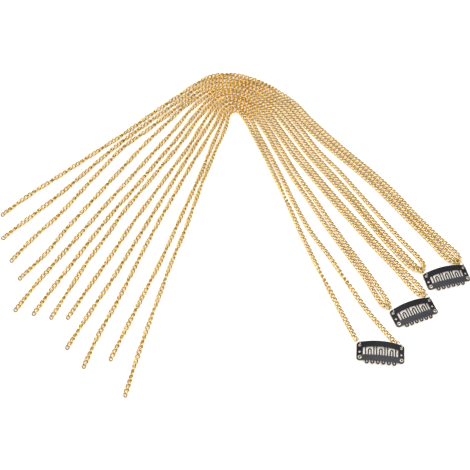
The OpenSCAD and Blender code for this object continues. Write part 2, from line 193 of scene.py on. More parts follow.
# The part's origin is the middle of its footprint; the route's own origin is not
ring_1 = box_middle("end_ring_1")
origin = np.array([LEFT_RUNS[0][0][0] - ring_1.x, LEFT_RUNS[0][0][1] - ring_1.y])


def make_camera():
    data = bpy.data.cameras.new("camera")
    data.sensor_width = SENSOR_MM
    data.lens = SENSOR_MM * CAMERA_FOCAL_PX / PHOTO_PX
    data.clip_start = 10 * MM
    data.clip_end = 20
    camera = bpy.data.objects.new("camera", data)
    bpy.context.collection.objects.link(camera)
    aim = AIM - Vector((origin[0], origin[1], 0))
    back = Vector((0, -math.cos(CAMERA_ELEVATION), math.sin(CAMERA_ELEVATION)))
    camera.location = aim + back * CAMERA_DISTANCE
    camera.rotation_euler = (math.pi / 2 - CAMERA_ELEVATION, 0, 0)
    bpy.context.scene.camera = camera


def make_panel(name, place, size, watts):
    """A soft rectangular light that faces the middle of the object."""
    data = bpy.data.lights.new(name, "AREA")
    data.shape = "RECTANGLE"
    data.size, data.size_y = size
    data.energy = watts
    panel = bpy.data.objects.new(name, data)
    bpy.context.collection.objects.link(panel)
    panel.location = place
    panel.rotation_euler = (-Vector(place)).to_track_quat("-Z", "Y").to_euler()


def make_studio():
    for softbox in SOFTBOXES:
        make_panel(*softbox)
    world = bpy.data.worlds.new("studio")
    world.use_nodes = True
    background = world.node_tree.nodes["Background"]
    background.inputs["Color"].default_value = ROOM_COLOUR
    background.inputs["Strength"].default_value = ROOM_STRENGTH
    bpy.context.scene.world = world
    bpy.context.scene.view_settings.view_transform = "Standard"


# ---------------------------------------------------------------- shader maths
class Value:
    """A socket with arithmetic: an expression adds Math nodes to the socket's tree."""

    def __init__(self, paint, socket):
        self.paint = paint
        self.socket = socket

    def math(self, operation, *terms):
        return self.paint.add("ShaderNodeMath", {"operation": operation}, terms)

    def __add__(self, other):
        return self.math("ADD", self, other)

    def __radd__(self, other):
        return self.math("ADD", other, self)

    def __mul__(self, other):
        return self.math("MULTIPLY", self, other)


class Paint:
    """A material under construction."""

    def __init__(self, name):
        self.material = bpy.data.materials.new(name)
        self.material.use_nodes = True
        self.tree = self.material.node_tree
        self.shader = self.tree.nodes["Principled BSDF"]

    def add(self, kind, settings, values, output=0):
        """Adds a node: its settings first, then each socket's value or link, by place or by name."""
        node = self.tree.nodes.new(kind)
        for key, value in settings.items():
            setattr(node, key, value)
        pairs = values.items() if isinstance(values, dict) else enumerate(values)
        for key, value in pairs:
            self.feed(node.inputs[key], value)
        return Value(self, node.outputs[output])

    def feed(self, socket, value):
        if isinstance(value, Value):
            self.tree.links.new(value.socket, socket)
        else:
            socket.default_value = value

    def set(self, **values):
        """Feeds the Principled shader: Base_Color=... sets its Base Color."""
        for key, value in values.items():
            self.feed(self.shader.inputs[key.replace("_", " ")], value)
        return self.material

    def place(self):
        return self.add("ShaderNodeTexCoord", {}, {}, "Object")

    def attribute(self, name):
        return self.add("ShaderNodeAttribute", {"attribute_name": name}, {}, "Fac")

    def noise(self, size, detail=2.0, roughness=0.5, stretch=(1, 1, 1)):
        """Noise whose lumps are about size across, in metres."""
        spot = self.add("ShaderNodeMapping", {}, {"Vector": self.place(), "Scale": stretch})
        return self.add("ShaderNodeTexNoise", {"normalize": True},
                        {"Vector": spot, "Scale": 1 / size, "Detail": detail, "Roughness": roughness},
                        "Fac")

    def between(self, value, low, high):
        """0 where value is under low, 1 over high, smooth between."""
        return self.add("ShaderNodeMapRange", {"interpolation_type": "SMOOTHSTEP"},
                        {"Value": value, "From Min": low, "From Max": high})

    def blend(self, share, first, second):
        """A colour between two colours."""
        node = self.tree.nodes.new("ShaderNodeMix")
        node.data_type = "RGBA"
        node.blend_type = "MIX"
        self.feed(node.inputs["Factor"], share)
        self.feed(node.inputs[6], first)
        self.feed(node.inputs[7], second)
        return Value(self, node.outputs[2])

    def bump(self, height, distance, strength=1.0):
        return self.add("ShaderNodeBump", {}, {"Height": height, "Distance": distance,
                                               "Strength": strength})


def tint(red, green, blue):
    return (red, green, blue, 1)


def gold_plating():
    """Light yellow gold: brighter on the pressed faces, with painted brown shade on the wire's inner side
    where the links hide one another, and a painted deeper orange round the crest.
    """
    paint = Paint("gold_plating")
    inner_shade = paint.attribute("inner_shade")
    tone = paint.attribute("tone")
    packed_reflection = paint.attribute("packed_reflection")
    patches = paint.noise(9 * MM, 3)
    light = paint.blend(tone, tint(0.91, 0.70, 0.32), tint(0.82, 0.60, 0.23))
    # Painted reflection: a deeper orange round the crest, where the chains mirror one another
    light = paint.blend(packed_reflection, light, tint(0.94, 0.62, 0.15))
    warm = paint.blend(paint.between(patches, 0.42, 0.68) * 0.45, light, tint(0.71, 0.48, 0.16))
    # Painted shade: the wire's inner side, where the links hide one another, is darkened to brown
    colour = paint.blend(paint.between(inner_shade, 0.15, 0.85) * 0.9, warm, tint(0.30, 0.165, 0.035))
    scuffs = paint.noise(0.5 * MM, 4, 0.6)
    return paint.set(Base_Color=colour, Metallic=1.0,
                     Roughness=0.16 + scuffs * 0.14 + inner_shade * 0.2,
                     Normal=paint.bump(scuffs, 0.01 * MM, 0.5))


def ring_plating(name, light, dark):
    """Drawn ring wire with faint scuffs, between two shades."""
    paint = Paint(name)
    cloud = paint.noise(2.5 * MM, 2)
    scuffs = paint.noise(0.3 * MM, 3)
    colour = paint.blend(cloud, light, dark)
    return paint.set(Base_Color=colour, Metallic=1.0, Roughness=0.14 + scuffs * 0.16,
                     Normal=paint.bump(scuffs, 0.008 * MM, 0.5))


def comb_lacquer():
    """Black lacquer over stamped steel, a little grey and thin along the edges."""
    paint = Paint("comb_lacquer")
    worn = paint.attribute("edge")
    cloud = paint.noise(5 * MM, 3)
    grain = paint.noise(0.22 * MM, 3, 0.6)
    body = paint.blend(cloud, tint(0.008, 0.009, 0.013), tint(0.018, 0.019, 0.026))
    thin = paint.between(worn + grain * 0.4, 0.85, 1.25)
    colour = paint.blend(thin * 0.45, body, tint(0.13, 0.13, 0.15))
    return paint.set(Base_Color=colour, Roughness=0.30 + cloud * 0.12 + grain * 0.08, Metallic=0.0,
                     Specular_IOR_Level=0.15, Coat_Weight=0.07, Coat_Roughness=0.18,
                     Normal=paint.bump(grain, 0.012 * MM, 0.6))


def strip_lacquer():
    """The spring strip's lacquer: greyer, with a fine sandy texture."""
    paint = Paint("strip_lacquer")
    sand = paint.noise(0.35 * MM, 4, 0.65)
    streak = paint.noise(1.2 * MM, 3, 0.5, (0.15, 1, 1))
    body = paint.blend(streak, tint(0.020, 0.021, 0.027), tint(0.050, 0.052, 0.064))
    colour = paint.blend(paint.between(sand, 0.55, 0.75) * 0.6, body, tint(0.12, 0.12, 0.14))
    return paint.set(Base_Color=colour, Roughness=0.36 + sand * 0.22, Metallic=0.0,
                     Specular_IOR_Level=0.3, Coat_Weight=0.1, Coat_Roughness=0.25,
                     Normal=paint.bump(sand, 0.03 * MM, 0.8))


def eyelet_brass():
    """Polished pale brass, darker and rougher in the bore."""
    paint = Paint("eyelet_brass")
    cloud = paint.noise(1.4 * MM, 3)
    in_bore = paint.attribute("bore")
    colour = paint.blend(cloud, tint(0.86, 0.81, 0.70), tint(0.70, 0.63, 0.50))
    # Darker towards near-black inside the bore
    colour = paint.blend(in_bore * 0.9, colour, tint(0.06, 0.05, 0.04))
    return paint.set(Base_Color=colour, Metallic=1.0, Roughness=0.2 + cloud * 0.15 + in_bore * 0.3,
                     Normal=paint.bump(cloud, 0.01 * MM, 0.4))


def paper_white():
    """Pale matt paper with a painted warm glow, so that the floor stays light between the chains; the
    warm tint is painted light, standing in for light the gold throws onto it.
    """
    paint = Paint("paper_white")
    fibre = paint.noise(3 * MM, 2)
    colour = paint.blend(fibre, tint(0.90, 0.90, 0.90), tint(0.92, 0.92, 0.92))
    # Painted light: a warm glow from the floor itself, filling the shade between the chains and standing
    # in for light bounced off the gold
    return paint.set(Base_Color=colour, Roughness=0.9, Emission_Color=tint(1, 0.86, 0.67),
                     Emission_Strength=0.31)


# ---------------------------------------------------------------- making and fitting objects
def link_object(name, mesh):
    piece = bpy.data.objects.new(name, mesh)
    bpy.context.collection.objects.link(piece)
    return piece


def mark_points(mesh, name, values, kind="FLOAT"):
    """Stores one value, or one vector, for each point of a mesh."""
    attribute = mesh.attributes.new(name, kind, "POINT")
    field = "vector" if kind == "FLOAT_VECTOR" else "value"
    attribute.data.foreach_set(field, np.asarray(values, np.float32).ravel())


def finish_piece(piece, slot, *nodes):
    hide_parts(*nodes)
    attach(piece, "root")


def grow(tree, piece, values):
    """Runs a Geometry Nodes tree on a piece and leaves its result as a plain mesh."""
    modifier = piece.modifiers.new("grow", "NODES")
    modifier.node_group = tree
    for item in tree.interface.items_tree:
        if item.item_type == "SOCKET" and item.in_out == "INPUT" and item.name in values:
            modifier[item.identifier] = values[item.name]
    piece.update_tag()
    evaluated = piece.evaluated_get(bpy.context.evaluated_depsgraph_get())
    mesh = bpy.data.meshes.new_from_object(evaluated)
    old = piece.data
    piece.modifiers.remove(modifier)
    piece.data = mesh
    mesh.name = piece.name
    bpy.data.meshes.remove(old)


class Growth:
    """A Geometry Nodes tree under construction, with named inputs for its sizes."""

    def __init__(self, name, **sizes):
        self.tree = bpy.data.node_groups.new(name, "GeometryNodeTree")
        face = self.tree.interface
        face.new_socket("Geometry", in_out="OUTPUT", socket_type="NodeSocketGeometry")
        face.new_socket("Geometry", in_out="INPUT", socket_type="NodeSocketGeometry")
        for label, value in sizes.items():
            kind = "NodeSocketInt" if isinstance(value, int) else "NodeSocketFloat"
            socket = face.new_socket(label.replace("_", " "), in_out="INPUT", socket_type=kind)
            socket.default_value = value
        face.new_socket("Finish", in_out="INPUT", socket_type="NodeSocketMaterial")
        self.given = self.tree.nodes.new("NodeGroupInput").outputs
        self.result = self.tree.nodes.new("NodeGroupOutput").inputs[0]

    def add(self, kind, settings=None, output=0, **values):
        node = self.tree.nodes.new(kind)
        for key, value in (settings or {}).items():
            setattr(node, key, value)
        for key, value in values.items():
            socket = next(s for s in node.inputs if s.name == key.replace("_", " ") and s.enabled)
            self.feed(socket, value)
        return node.outputs[output]

    def feed(self, socket, value):
        if isinstance(value, bpy.types.NodeSocket):
            self.tree.links.new(value, socket)
        else:
            socket.default_value = value

    def maths(self, operation, *terms):
        node = self.tree.nodes.new("ShaderNodeMath")
        node.operation = operation
        for socket, value in zip(node.inputs, terms):
            self.feed(socket, value)
        return node.outputs[0]

    def end(self, geometry):
        realized = self.add("GeometryNodeRealizeInstances", Geometry=geometry)
        coated = self.add("GeometryNodeSetMaterial", Geometry=realized, Material=self.given["Finish"])
        self.tree.links.new(coated, self.result)
        return self.tree


def curb_chain_tree():
    """Sets a twisted curb link on every point of the piece, turned as the point's attribute says."""
    g = Growth("curb_chain", Half_Length=LINK_HALF_LENGTH, Half_Width=LINK_HALF_WIDTH, Wire=LINK_WIRE,
               Twist=LINK_TWIST, Pressed=LINK_PRESSED, Steps=LINK_STEPS, Sides=WIRE_SIDES, Seed=7)
    length, width, wire = g.given["Half Length"], g.given["Half Width"], g.given["Wire"]
    oblong = g.add("GeometryNodeCurvePrimitiveQuadrilateral", {"mode": "RECTANGLE"},
                   Width=g.maths("MULTIPLY", length, 2.0), Height=g.maths("MULTIPLY", width, 2.0))
    rounded = g.add("GeometryNodeFilletCurve", {"mode": "POLY"}, Curve=oblong, Count=12,
                    Limit_Radius=True, Radius=width)
    stepped = g.add("GeometryNodeResampleCurve", {"mode": "COUNT"}, Curve=rounded, Count=g.given["Steps"])
    where = g.add("ShaderNodeSeparateXYZ", Vector=g.add("GeometryNodeInputPosition"))
    across, along = where.node.outputs["Y"], where.node.outputs["X"]
    turn = g.maths("MULTIPLY", g.maths("DIVIDE", along, length), g.given["Twist"])
    twisted = g.add("ShaderNodeCombineXYZ", X=along,
                    Y=g.maths("MULTIPLY", across, g.maths("COSINE", turn)),
                    Z=g.maths("MULTIPLY", across, g.maths("SINE", turn)))
    loop = g.add("GeometryNodeSetPosition", Geometry=stepped, Position=twisted)
    section = g.add("GeometryNodeCurvePrimitiveCircle", {"mode": "RADIUS"}, Resolution=g.given["Sides"],
                    Radius=g.maths("DIVIDE", wire, 2.0))
    link = g.add("GeometryNodeCurveToMesh", Curve=loop, Profile_Curve=section)
    spot = g.add("ShaderNodeSeparateXYZ", Vector=g.add("GeometryNodeInputPosition")).node.outputs
    half = g.maths("DIVIDE", g.given["Pressed"], 2.0)
    pressed = g.add("ShaderNodeCombineXYZ", X=spot["X"], Y=spot["Y"],
                    Z=g.maths("MINIMUM", g.maths("MAXIMUM", spot["Z"], g.maths("MULTIPLY", half, -1.0)),
                              half))
    link = g.add("GeometryNodeSetPosition", Geometry=link, Position=pressed)
    # Painted shade: 1 on the wire's inner side, where the links hide one another, 0 on its outer side
    spot = g.add("ShaderNodeSeparateXYZ", Vector=g.add("GeometryNodeInputPosition")).node.outputs

    def squared_share(axis, size):
        return g.maths("POWER", g.maths("DIVIDE", g.maths("ABSOLUTE", spot[axis]), size), 2.0)

    spread = g.maths("ADD", squared_share("X", length),
                     g.maths("ADD", squared_share("Y", width), squared_share("Z", width)))
    inner_shade = g.add("ShaderNodeMapRange", {"interpolation_type": "LINEAR"}, Value=spread, From_Min=1.15,
                   From_Max=0.55)
    link = g.add("GeometryNodeStoreNamedAttribute", {"data_type": "FLOAT", "domain": "POINT"},
                 Geometry=link, Name="inner_shade", Value=inner_shade)
    link = g.add("GeometryNodeSetShadeSmooth", Geometry=link)
    heading = g.add("GeometryNodeInputNamedAttribute", {"data_type": "FLOAT_VECTOR"}, Name="turn")
    row = g.add("GeometryNodeInstanceOnPoints", Points=g.given["Geometry"], Instance=link,
                Rotation=g.add("FunctionNodeEulerToRotation", Euler=heading))
    tone = g.add("FunctionNodeRandomValue", {"data_type": "FLOAT"}, 1, Seed=g.given["Seed"])
    row = g.add("GeometryNodeStoreNamedAttribute", {"data_type": "FLOAT", "domain": "INSTANCE"},
                Geometry=row, Name="tone", Value=tone)
    return g.end(row)


def jump_ring_tree():
    """A ring of round wire, cut once and closed again, in the XY plane."""
    g = Growth("jump_ring", Mid_Radius=0.003, Wire=0.0007, Cut=0.05, Steps=40, Sides=12)
    arc = g.add("GeometryNodeCurveArc", {"mode": "RADIUS"}, Resolution=g.given["Steps"],
                Radius=g.given["Mid Radius"], Start_Angle=g.maths("DIVIDE", g.given["Cut"], 2.0),
                Sweep_Angle=g.maths("SUBTRACT", 2 * math.pi, g.given["Cut"]))
    section = g.add("GeometryNodeCurvePrimitiveCircle", {"mode": "RADIUS"}, Resolution=g.given["Sides"],
                    Radius=g.maths("DIVIDE", g.given["Wire"], 2.0))
    wire = g.add("GeometryNodeCurveToMesh", Curve=arc, Profile_Curve=section, Fill_Caps=True)
    return g.end(g.add("GeometryNodeSetShadeSmooth", Geometry=wire))


# ---------------------------------------------------------------- routes of the chains
def unit(v):
    return v / np.linalg.norm(v)


def left_of(d):
    return np.array([-d[1], d[0]])


def heading_of(degrees):
    return np.array([math.cos(math.radians(degrees)), math.sin(math.radians(degrees))])


def run_of(k):
    return next(run for run in RIGHT_RUNS if run[0] <= k <= run[1])


def right_points(k, run):
    first, last, line = run[0], run[1], np.array(run[6], float) * MM
    lane = (first + last) / 2 - k
    points = []
    for i, row in enumerate(line):
        along = unit(line[min(i + 1, len(line) - 1)][:2] - line[max(i - 1, 0)][:2])
        points.append(row[:2] + left_of(along) * lane * row[2])
    return points


def ring_frame(run):
    """Middle of the run's clip ring in the route's own frame, and the way its chains leave."""
    middle = box_middle(f"{CLIP_NAMES[run[2]]}_ring_{SIDE_NAMES[run[3]]}")
    return np.array([middle.x, middle.y]) + origin, heading_of(run[4])


def tube_end(k, run):
    middle, out = ring_frame(run)
    side_step = ((run[0] + run[1]) / 2 - k + run[5]) * RING_SPREAD
    return (middle + out * (CLIP_RING_OD / 2 + CHAIN_GAP + abs(side_step) * OUTER_SETBACK)
            - left_of(out) * side_step)


def smooth_curve(points, step):
    """Centripetal Catmull-Rom curve through the points, in plan or in space."""
    p = [2 * points[0] - points[1], *points, 2 * points[-1] - points[-2]]
    curve = []
    for a, b, c, d in zip(p, p[1:], p[2:], p[3:]):
        t1 = math.sqrt(max(np.linalg.norm(b - a), 1e-6))
        t2 = t1 + math.sqrt(max(np.linalg.norm(c - b), 1e-6))
        t3 = t2 + math.sqrt(max(np.linalg.norm(d - c), 1e-6))
        for share in np.linspace(0, 1, max(2, math.ceil(np.linalg.norm(c - b) / step)), endpoint=False):
            t = t1 + (t2 - t1) * share
            a1 = a * (t1 - t) / t1 + b * t / t1
            a2 = b * (t2 - t) / (t2 - t1) + c * (t - t1) / (t2 - t1)
            a3 = c * (t3 - t) / (t3 - t2) + d * (t - t2) / (t3 - t2)
            b1 = a1 * (t2 - t) / t2 + a2 * t / t2
            b2 = a2 * (t3 - t) / (t3 - t1) + a3 * (t - t1) / (t3 - t1)
            curve.append(b1 * (t2 - t) / (t2 - t1) + b2 * (t - t1) / (t2 - t1))
    curve.append(points[-1])
    return np.array(curve)


def lying_height(roll):
    """Height of a link's middle when it lies on the floor, rolled about its length."""
    lean = abs(math.sin(roll))
    return LINK_PRESSED / 2 * (1 - lean) + (LINK_HALF_WIDTH + LINK_WIRE / 2) * lean


def smooth_step(x):
    x = np.clip(x, 0, 1)
    return x * x * (3 - 2 * x)


# How far round its clip ring each chain hangs, in degrees from the ring's outermost point
HOOK_ANGLES = (-5, -55, 42, 10, -50, 45, -50, 0, -50, 0, -45, -45)
HOOK_RADIUS = (CLIP_RING_OD - CLIP_RING_WIRE) / 2 - CLIP_RING_WIRE / 2 - LINK_WIRE / 2
LINK_OVERHANG = LINK_HALF_LENGTH - LINK_PITCH / 2
END_HOOK = (END_RING_OD - 2 * END_RING_WIRE) / 2 - LINK_WIRE / 2
FLAT_HEIGHT = LINK_PRESSED / 2


def hook_point(k, run):
    """Where the chain's last link hangs on its clip ring."""
    middle, out = ring_frame(run)
    angle = math.radians(HOOK_ANGLES[k - 1])
    flat = middle + out * (HOOK_RADIUS * math.cos(angle) + LINK_OVERHANG)
    return np.array([flat[0], flat[1], CLIP_RING_OD / 2 + HOOK_RADIUS * math.sin(angle)])


def chain_line(k):
    """The chain's middle line from ring to ring, where its left run ends on it, and a place finder."""
    run, left = run_of(k), LEFT_RUNS[k - 1]
    start = left[0] + unit(left[1] - left[0]) * (END_HOOK + LINK_OVERHANG)
    share = (STRAND_COUNT - k) / (STRAND_COUNT - 1)
    crest = [line[0] + (line[1] - line[0]) * share for line in CREST]
    plan = [start, *left[1:], *crest, *right_points(k, run), tube_end(k, run)]
    hook = hook_point(k, run)
    heights = [FLAT_HEIGHT] * (len(plan) - 1) + [FLAT_HEIGHT + (hook[2] - FLAT_HEIGHT) * 0.4]
    curve = smooth_curve([np.array([*p, z]) for p, z in zip(plan, heights)] + [hook], ROUTE_STEP)
    travel = np.concatenate([[0], np.cumsum(np.linalg.norm(np.diff(curve, axis=0), axis=1))])

    def travel_at(point):
        return travel[np.argmin(np.linalg.norm(curve[:, :2] - np.array(point), axis=1))]

    return curve, travel, travel_at


def link_rolls(k, spots, travel_at):
    """How far each link is rolled about the chain: twisted on the left, flat over the crest."""
    rng = np.random.default_rng(100 + k)
    fine = np.arange(0, TURNING[-1, 0], ROUTE_STEP)
    wander = 1 + WANDER * np.sin(fine / WANDER_WAVE + rng.uniform(0, 6))
    rate = np.interp(fine, TURNING[:, 0], TURNING[:, 1]) * wander / HALF_TURN_LENGTHS[k - 1]
    turned = np.cumsum(rate) * ROUTE_STEP
    turned *= round(turned[-1]) / turned[-1]
    roll = -math.pi * (np.interp(spots, fine, turned) - round(turned[-1]))
    for point in RIGHT_HALF_TURNS.get(k, []):
        middle = travel_at(np.array(point) * MM)
        roll = roll - math.pi * smooth_step((spots - middle) / RIGHT_TURN_LENGTH + 0.5)
    starts = rng.uniform(0, 2 * math.pi, 2)
    return roll + SWAY * sum(np.sin(spots / wave + start) for wave, start in zip(SWAY_WAVES, starts))


def settled(heights, reach):
    """Heights of a chain that rests on its highest links: an upper envelope, then a running mean."""
    for measure in (np.max, np.mean):
        padded = np.pad(heights, reach, mode="edge")
        heights = np.array([measure(padded[i:i + 2 * reach + 1]) for i in range(len(heights))])
    return heights


def lay_links(k):
    """Middle of each link of a chain and its turn: roll, climb and heading."""
    curve, travel, travel_at = chain_line(k)
    stops = np.linspace(0, travel[-1], round(travel[-1] / LINK_PITCH) + 1)
    joints = np.stack([np.interp(stops, travel, curve[:, axis]) for axis in range(3)], axis=1)
    roll = link_rolls(k, (stops[1:] + stops[:-1]) / 2, travel_at)
    middles = (joints[1:] + joints[:-1]) / 2
    resting = settled(np.array([lying_height(r) for r in roll]), 2)
    middles[:, 2] += resting - FLAT_HEIGHT
    along = joints[1:] - joints[:-1]
    heading = np.arctan2(along[:, 1], along[:, 0])
    climb = np.arctan2(along[:, 2], np.hypot(along[:, 0], along[:, 1]))
    middles[:, :2] -= origin
    return middles, np.stack([roll, -climb, heading], axis=1)


def make_chain(k, tree, finish):
    middles, turns = lay_links(k)
    mesh = bpy.data.meshes.new(f"strand_{k}_links")
    mesh.from_pydata(middles.tolist(), [], [])
    mark_points(mesh, "turn", turns, "FLOAT_VECTOR")
    # Painted reflection: each link's share of the crest's deeper orange
    apart = np.linalg.norm(middles[:, :2] + origin - CREST[2].mean(axis=0), axis=1)
    mark_points(mesh, "packed_reflection", smooth_step((PACKED_REACH - apart) / PACKED_FADE))
    piece = link_object(mesh.name, mesh)
    grow(tree, piece, {"Finish": finish, "Seed": 20 + k})
    finish_piece(piece, "chain_gold", f"strand_{k}")


# ---------------------------------------------------------------- rings
RING_CUT = 0.04 * MM
# Where the cut of a ring faces: one place for the clip rings, three in turn for the end rings
CLIP_RING_SPIN = math.radians(70)
END_RING_SPINS = (2.4, 2.9, 3.4)


def place_mesh(mesh, matrix):
    mesh.transform(matrix)
    mesh.update()


def make_ring(name, tree, finish, od, wire, matrix):
    piece = link_object(f"{name}_wire", bpy.data.meshes.new(name))
    sizes = {"Mid Radius": (od - wire) / 2, "Wire": wire, "Cut": RING_CUT / (od / 2), "Finish": finish}
    grow(tree, piece, sizes)
    place_mesh(piece.data, matrix)
    finish_piece(piece, "ring_steel", name)


def make_rings(clip_finish, end_finish):
    tree = jump_ring_tree()
    for c, clip in enumerate(CLIP_NAMES):
        for s, side in enumerate(SIDE_NAMES):
            name = f"{clip}_ring_{side}"
            degrees = next(run[4] for run in RIGHT_RUNS if run[2:4] == (c, s))
            upright = Euler((math.pi / 2, 0, math.radians(degrees))).to_matrix().to_4x4()
            spin = Matrix.Rotation(CLIP_RING_SPIN, 4, "Z")
            make_ring(name, tree, clip_finish, CLIP_RING_OD, CLIP_RING_WIRE,
                      Matrix.Translation(box_middle(name)) @ upright @ spin)
    for k in range(1, STRAND_COUNT + 1):
        name = f"end_ring_{k}"
        along = LEFT_RUNS[k - 1][1] - LEFT_RUNS[k - 1][0]
        turn = Matrix.Rotation(math.atan2(along[1], along[0]), 4, "Z")
        lean = Matrix.Rotation(END_RING_LEAN, 4, "X")
        spin = Matrix.Rotation(END_RING_SPINS[k % 3], 4, "Z")
        make_ring(name, tree, end_finish, END_RING_OD, END_RING_WIRE,
                  Matrix.Translation(box_middle(name)) @ turn @ lean @ spin)


# ---------------------------------------------------------------- snap combs
ARCH_RADIUS = ((CLIP_LENGTH / 2) ** 2 + PLATE_RISE ** 2) / (2 * PLATE_RISE)
PLATE_TOP = PLATE_DEPTH - RIVET_UP
BOW_RADIUS = ((CLIP_LENGTH / 2) ** 2 + TOP_BOW ** 2) / (2 * TOP_BOW)
BOW_V = PLATE_TOP + TOP_BOW - BOW_RADIUS
CORNER_U = CLIP_LENGTH / 2 - CORNER_RADIUS
EAR_TOP = BOW_V + math.sqrt(BOW_RADIUS ** 2 - CORNER_U ** 2) + PLAY
RING_HOLE_U = CLIP_LENGTH / 2 - RING_HOLE_INSET
EYELET_U = CLIP_LENGTH / 2 - EYELET_INSET
LEG_STEP = TOOTH_PITCH / 2
BEND_OUTER = (LEG_STEP + TOOTH_WIRE) / 2
BEND_INNER = (LEG_STEP - TOOTH_WIRE) / 2
BEND_V = BEND_OUTER - TOOTH_REACH
PAIR_GAP = TOOTH_PITCH - 2 * BEND_OUTER
RIM_RADIUS = (EYELET_RIM_D - EYELET_BORE_D) / 4
RIM_MIDDLE = (EYELET_RIM_D + EYELET_BORE_D) / 4
WINDOW_FILLET = 0.4 * MM
INNER_EAR_RADIUS = CORNER_RADIUS * 0.98
EDGE_ROUNDING = 0.09 * MM
STRIP_ROUNDING = 0.12 * MM
WEAR_REACH = 0.25 * MM
BORE_REACH = 0.72 * MM
EYELET_FLARE = 0.12 * MM
EYELET_EASE = 0.03 * MM
EYELET_SIDES = 36
HOLE_STEPS = 28


def arc(u, v, radius, start, end, steps=10):
    angles = np.radians(np.linspace(start, end, steps + 1))
    return [(u + radius * math.cos(a), v + radius * math.sin(a)) for a in angles]


def hole(u, v, diameter):
    return arc(u, v, diameter / 2, 360, 0, HOLE_STEPS)[:-1]


def band_low(u):
    """Height of the band's lower edge, which follows the bowed top edge."""
    return BOW_V + math.sqrt((BOW_RADIUS - BAND_DEPTH) ** 2 - u ** 2)


def under_band(start, end):
    """Points along the band's lower edge from one place to another."""
    return [(u, band_low(u)) for u in np.linspace(start, end, 5)]


def tooth_pairs():
    """The left leg, the middle and the right leg of each pair of teeth."""
    for i in range(TOOTH_PAIRS):
        middle = (i - (TOOTH_PAIRS - 1) / 2) * 2 * TOOTH_PITCH
        yield middle - LEG_STEP, middle, middle + LEG_STEP


def comb_outline():
    """The plate's outer edge: down its left end, along the serpentine of the teeth, and round the top."""
    half = CLIP_LENGTH / 2
    r = CORNER_RADIUS
    low = -RIVET_UP
    edge = arc(-CORNER_U, EAR_TOP - r, r, 90, 180) + arc(-CORNER_U, low + r, r, 180, 270)
    inner, small = half - EAR_WIDTH, INNER_EAR_RADIUS
    edge += arc(-half + EAR_WIDTH - small, low + small, small, 270, 360)
    fillet = WINDOW_FILLET
    edge += arc(-inner + fillet, band_low(inner) - fillet, fillet, 180, 100, 4)
    for left, middle, right in tooth_pairs():
        edge += under_band(left - BEND_OUTER - 0.8 * PAIR_GAP, left - BEND_OUTER)
        edge += arc(left, BEND_V, BEND_OUTER, 180, 360)
        edge += arc(middle, band_low(middle) - ARCH_DROP - BEND_OUTER, BEND_INNER, 180, 0, 8)
        edge += arc(right, BEND_V, BEND_OUTER, 180, 360)
        edge += [(right + BEND_OUTER, band_low(right + BEND_OUTER))]
    edge += arc(inner - fillet, band_low(inner) - fillet, fillet, 80, 0, 4)
    edge += arc(half - EAR_WIDTH + small, low + small, small, 180, 270)
    edge += arc(CORNER_U, low + r, r, 270, 360) + arc(CORNER_U, EAR_TOP - r, r, 0, 90)
    slope = math.degrees(math.acos((EAR_TOP - BOW_V) / BOW_RADIUS))
    return edge + arc(0, BOW_V, BOW_RADIUS, 90 - slope, 90 + slope, 24)


def comb_holes():
    """One opening shaped like an arch above each pair of teeth, and three round holes at each end."""
    holes = []
    for left, middle, right in tooth_pairs():
        opening = arc(left, BEND_V, BEND_INNER, 180, 360, 8)
        opening += arc(middle, band_low(middle) - ARCH_DROP - BEND_OUTER, BEND_OUTER, 180, 0)
        opening += arc(right, BEND_V, BEND_INNER, 180, 360, 8)
        opening += under_band(right + BEND_INNER, left - BEND_INNER)
        holes.append(opening)
    for side in (-1, 1):
        holes.append(hole(side * RING_HOLE_U, PLATE_TOP - RING_HOLE_INSET, RING_HOLE_D))
        holes.append(hole(side * RING_HOLE_U, SEWING_HOLE_UP, SEWING_HOLE_D))
        holes.append(hole(side * EYELET_U, 0, EYELET_SHANK_D + 2 * PLAY))
    return holes


def strip_loops():
    r = STRIP_WIDTH / 2 - PLAY
    edge = arc(-EYELET_U - PLAY, 0, r, 90, 270, 18) + arc(EYELET_U + PLAY, 0, r, -90, 90, 18)
    return [edge] + [hole(side * EYELET_U, 0, EYELET_SHANK_D + 2 * PLAY) for side in (-1, 1)]


def stamped_sheet(name, loops, thickness, rounding):
    """A flat sheet with rounded edges from its outline and its holes, cut across so that it can bend."""
    curve = bpy.data.curves.new(name, "CURVE")
    curve.dimensions = "2D"
    curve.fill_mode = "BOTH"
    curve.extrude = thickness / 2 - rounding
    curve.bevel_depth = rounding
    curve.bevel_resolution = 2
    curve.offset = -rounding
    for loop in loops:
        spline = curve.splines.new("POLY")
        spline.points.add(len(loop) - 1)
        spline.use_cyclic_u = True
        for point, (u, v) in zip(spline.points, loop):
            point.co = (u, v, 0, 1)
    shape = link_object(name, curve)
    bpy.context.view_layer.update()
    mesh = bpy.data.meshes.new_from_object(shape.evaluated_get(bpy.context.evaluated_depsgraph_get()))
    bpy.data.objects.remove(shape)
    work = bmesh.new()
    work.from_mesh(mesh)
    bmesh.ops.remove_doubles(work, verts=work.verts, dist=0.002 * MM)
    for u in np.arange(-CLIP_LENGTH / 2, CLIP_LENGTH / 2, 1 * MM):
        bmesh.ops.bisect_plane(work, geom=[*work.verts, *work.edges, *work.faces],
                               plane_co=(u + 0.37 * MM, 0, 0), plane_no=(1, 0, 0), dist=1e-6)
    bmesh.ops.triangulate(work, faces=[f for f in work.faces if len(f.verts) > 4])
    bmesh.ops.recalc_face_normals(work, faces=work.faces)
    work.to_mesh(mesh)
    work.free()
    return mesh


def bend_over_arch(mesh, height):
    """Bends a flat mesh over the plate's arch, its middle surface at the given height."""
    points = np.empty(len(mesh.vertices) * 3)
    mesh.vertices.foreach_get("co", points)
    u, v, w = points.reshape(-1, 3).T
    angle = np.arcsin(u / ARCH_RADIUS)
    out = ARCH_RADIUS + height + w
    bent = np.stack([out * np.sin(angle), v, out * np.cos(angle) - ARCH_RADIUS + PLATE_RISE], axis=1)
    mesh.vertices.foreach_set("co", bent.ravel())
    mesh.update()


